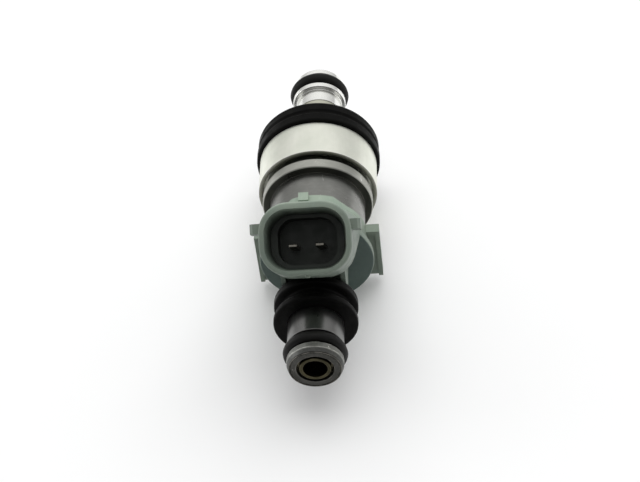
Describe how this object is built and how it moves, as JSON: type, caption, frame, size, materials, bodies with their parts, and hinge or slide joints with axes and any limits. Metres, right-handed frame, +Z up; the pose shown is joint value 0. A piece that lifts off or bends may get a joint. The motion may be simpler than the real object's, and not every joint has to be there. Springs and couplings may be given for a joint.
{
  "type": "fuel injector",
  "caption": "Top-feed fuel injector with a slanted side plug socket, clamp collar, rubber seals at both ends and a spring-closed needle valve.",
  "frame": {"origin": "on the injector's axis, in the plane where the rubber insulator sits on the intake manifold", "axes": "+Y along the injector's axis towards the fuel inlet, +Z up through the plug socket, +X across the two terminals"},
  "size_m": [0.0228, 0.0709, 0.0341],
  "materials": {
    "sintered_steel": "dull, finely speckled",
    "brass": "dull",
    "stainless": "ground",
    "dark_steel": "smooth, dark plated",
    "magnet_steel": "plated",
    "spring_steel": "drawn wire",
    "polished_steel": "polished",
    "plated_steel": "satin plated, finely scratched",
    "satin_aluminium": "satin, turned",
    "bobbin_plastic": "moulded",
    "copper_wire": "enamelled copper",
    "tinned_brass": "tinned",
    "grey_green_plastic": "moulded, glass filled",
    "screen_mesh": "woven",
    "seal_rubber": "satin",
    "moulded_rubber": "satin"
  },
  "bodies": {
    "injector": {"nozzle_cap": "sintered_steel", "nozzle_sleeve": "brass", "orifice_plate": "stainless", "valve_body": "stainless", "nozzle_barrel": "dark_steel", "stopper_plate": "stainless", "return_spring": "spring_steel", "adjusting_tube": "stainless", "inlet_tube": "polished_steel", "coil_shell": "plated_steel", "clamp_collar": "satin_aluminium", "coil_bobbin": "bobbin_plastic", "coil_winding": "copper_wire", "front_coil_seal": "seal_rubber", "rear_coil_seal": "seal_rubber", "terminal_left": "tinned_brass", "terminal_right": "tinned_brass", "connector_body": "grey_green_plastic", "filter_frame": "bobbin_plastic", "filter_screen": "screen_mesh", "lower_o_ring": "seal_rubber", "inlet_o_ring": "seal_rubber", "manifold_insulator": "moulded_rubber", "rail_grommet": "moulded_rubber"},
    "valve_needle": {"needle": "stainless", "armature": "magnet_steel"}
  },
  "joints": [
    {"name": "needle_lift", "type": "slide", "parent": "injector", "child": "valve_needle", "axis": [0, 1, 0], "range_m": [0, 0.0001], "stiffness_N_per_m": 1500, "springref_m": -0.0025, "deforming": ["return_spring"]}
  ]
}
